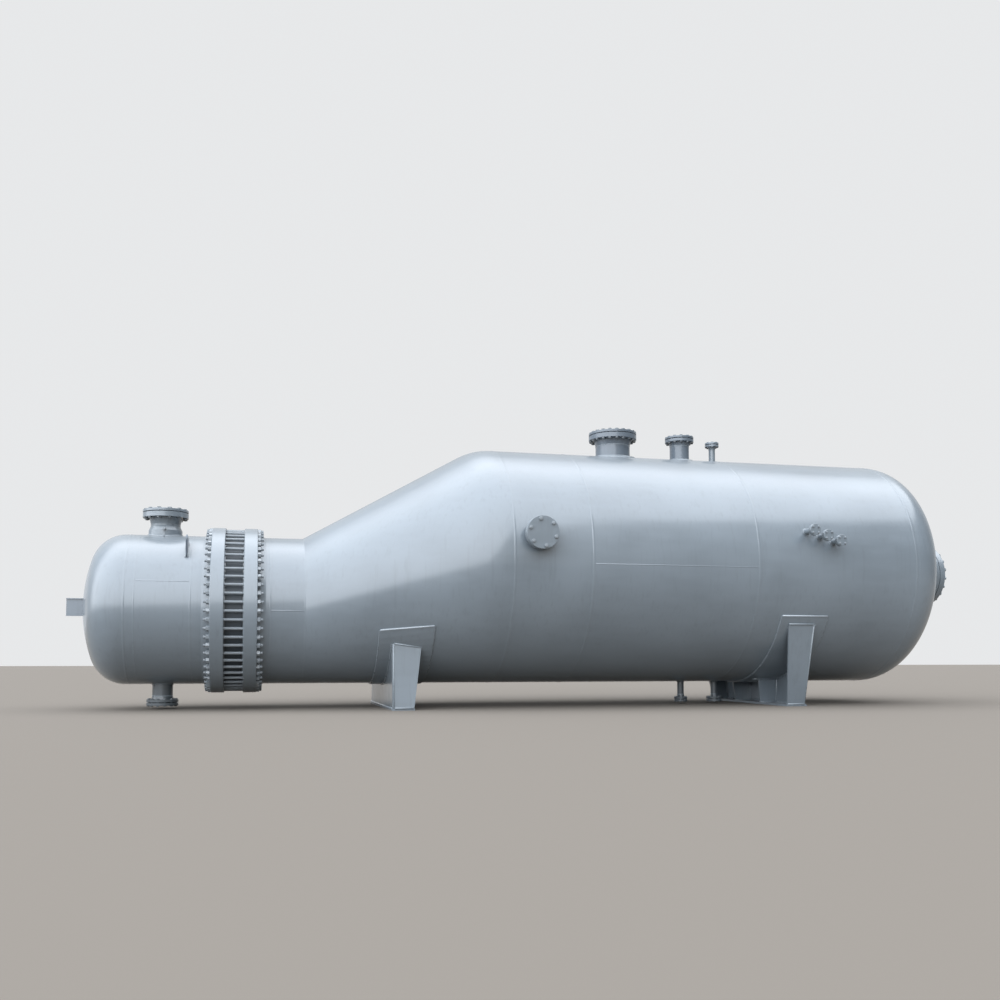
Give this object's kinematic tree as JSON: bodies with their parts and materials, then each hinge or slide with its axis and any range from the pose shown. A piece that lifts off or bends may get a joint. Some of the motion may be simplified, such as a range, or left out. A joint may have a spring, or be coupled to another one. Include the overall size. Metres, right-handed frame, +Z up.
{
  "type": "shell and tube heat exchanger",
  "caption": "Horizontal kettle type shell and tube heat exchanger with bolted channel, eccentric cone, blinded nozzles and saddle supports.",
  "frame": {"origin": "on the floor, in the middle of the fixed saddle's base plate, straight below the vessel's axis", "axes": "+X along the vessel from the channel head to the rear head, +Z up, -Y is the side with the handhole and the level gauge nozzles"},
  "size_m": [11.8857, 3.234, 3.711],
  "materials": {
    "shell_paint": "semi-gloss light grey-blue coat",
    "cover_paint": "semi-gloss light grey-blue coat",
    "saddle_paint": "semi-gloss light grey-blue coat",
    "stud_paint": "painted over studs and nuts, worn dark at the edges",
    "gasket": "matt"
  },
  "bodies": {
    "root": {"channel_head": "shell_paint", "channel_barrel": "shell_paint", "channel_flange": "shell_paint", "channel_gasket": "gasket", "tubesheet": "shell_paint", "shell_gasket": "gasket", "shell_flange": "shell_paint", "girth_studs": "stud_paint", "shell_neck": "shell_paint", "eccentric_cone": "shell_paint", "kettle_course_1": "shell_paint", "kettle_course_2": "shell_paint", "kettle_course_3": "shell_paint", "rear_head": "shell_paint", "manway_neck": "shell_paint", "manway_cover": "cover_paint", "handhole_neck": "shell_paint", "handhole_cover": "cover_paint", "vapour_nozzle": "shell_paint", "vapour_pad": "shell_paint", "vapour_cover": "cover_paint", "relief_nozzle": "shell_paint", "relief_pad": "shell_paint", "relief_cover": "cover_paint", "vent_nozzle": "shell_paint", "vent_cover": "cover_paint", "gauge_nozzle_1": "shell_paint", "gauge_cover_1": "cover_paint", "gauge_nozzle_2": "shell_paint", "gauge_cover_2": "cover_paint", "gauge_nozzle_3": "shell_paint", "gauge_cover_3": "cover_paint", "drain_nozzle_1": "shell_paint", "drain_cover_1": "cover_paint", "drain_nozzle_2": "shell_paint", "drain_cover_2": "cover_paint", "inlet_nozzle": "shell_paint", "inlet_cover": "cover_paint", "outlet_nozzle": "shell_paint", "outlet_cover": "cover_paint", "lifting_lug_near": "shell_paint", "lifting_lug_far": "shell_paint", "end_bracket": "shell_paint", "fixed_saddle_base": "saddle_paint", "fixed_saddle_frame": "saddle_paint", "fixed_saddle_wear_plate": "saddle_paint", "sliding_saddle_base": "saddle_paint", "sliding_saddle_frame": "saddle_paint", "sliding_saddle_wear_plate": "saddle_paint"}
  },
  "joints": []
}
